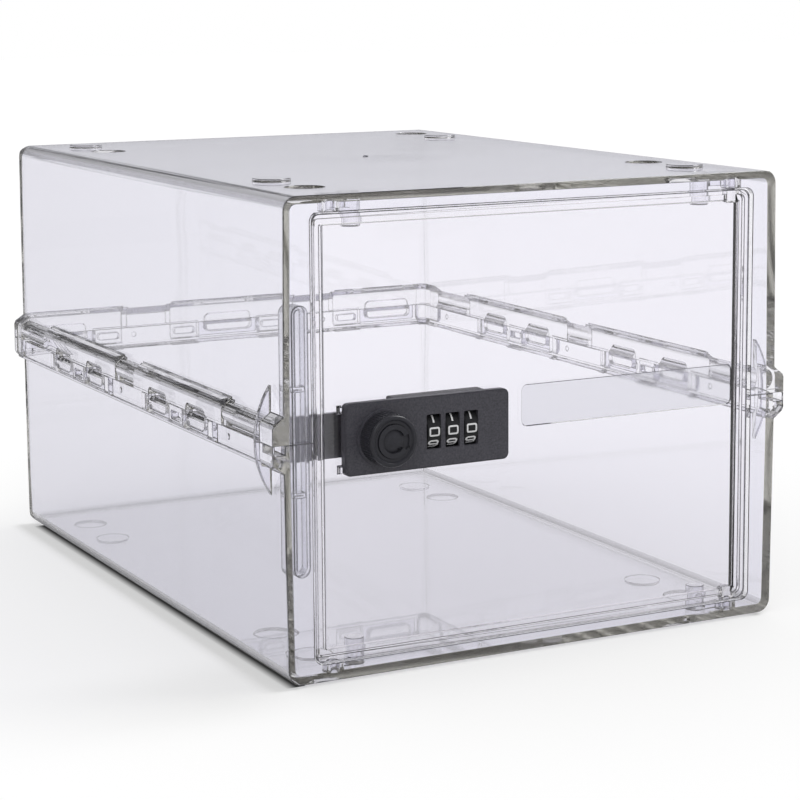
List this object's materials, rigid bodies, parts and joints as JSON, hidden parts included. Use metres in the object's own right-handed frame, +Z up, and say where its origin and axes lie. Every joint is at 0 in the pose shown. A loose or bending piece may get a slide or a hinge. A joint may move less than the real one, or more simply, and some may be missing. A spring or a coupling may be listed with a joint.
{
  "type": "lockable card box",
  "caption": "Clear moulded lockable box of two snapped half shells, with a hinged front door closed by a combination dial cam lock.",
  "frame": {"origin": "on the resting plane under the middle of the whole box, knob and snap band included", "axes": "+Z up, -Y out of the front door, +X to the hinge side"},
  "size_m": [0.2166, 0.2978, 0.1724],
  "materials": {
    "clear_case": "clear moulded polycarbonate, high gloss",
    "clear_strip": "clear moulded polycarbonate, fine frosted front",
    "clear_door": "clear moulded polycarbonate, high gloss, with a frosted bare label field",
    "black_textured": "fine spark-textured black moulding",
    "black_housing": "plain black moulding",
    "black_knob": "satin black moulding, fluted grip",
    "black_dial": "black with white printed figures",
    "cam_steel": "dull plated steel",
    "zinc": "zinc plated",
    "spring_steel": "bright leaf spring",
    "wheel_brass": "turned brass"
  },
  "bodies": {
    "case": {"lower_shell": "clear_case", "upper_shell": "clear_case", "strike_strip": "clear_strip"},
    "door": {"door": "clear_door", "lock_plate": "black_textured", "lock_housing": "black_housing", "housing_cover": "black_housing", "dial_axle": "zinc", "locking_bar": "zinc", "detent_spring": "spring_steel", "lock_screws": "zinc"},
    "knob": {"knob": "black_knob", "cam_spindle": "zinc", "cam": "cam_steel", "cam_nut": "zinc"},
    "dial_1": {"dial_1": "black_dial", "code_wheel_1": "wheel_brass"},
    "dial_2": {"dial_2": "black_dial", "code_wheel_2": "wheel_brass"},
    "dial_3": {"dial_3": "black_dial", "code_wheel_3": "wheel_brass"}
  },
  "joints": [
    {"name": "door_swing", "type": "hinge", "parent": "case", "child": "door", "pos_m": [0.0832, -0.13265, 0.0862], "axis": [0, 0, 1], "range_deg": [0, 95]},
    {"name": "knob_turn", "type": "hinge", "parent": "door", "child": "knob", "pos_m": [-0.0662, -0.13725, 0.0862], "axis": [0, 1, 0], "range_deg": [0, 90]},
    {"name": "dial_1_turn", "type": "hinge", "parent": "door", "child": "dial_1", "pos_m": [-0.046, -0.13285, 0.0862], "axis": [1, 0, 0], "continuous": true},
    {"name": "dial_2_turn", "type": "hinge", "parent": "door", "child": "dial_2", "pos_m": [-0.03855, -0.13285, 0.0862], "axis": [1, 0, 0], "continuous": true},
    {"name": "dial_3_turn", "type": "hinge", "parent": "door", "child": "dial_3", "pos_m": [-0.0311, -0.13285, 0.0862], "axis": [1, 0, 0], "continuous": true}
  ]
}
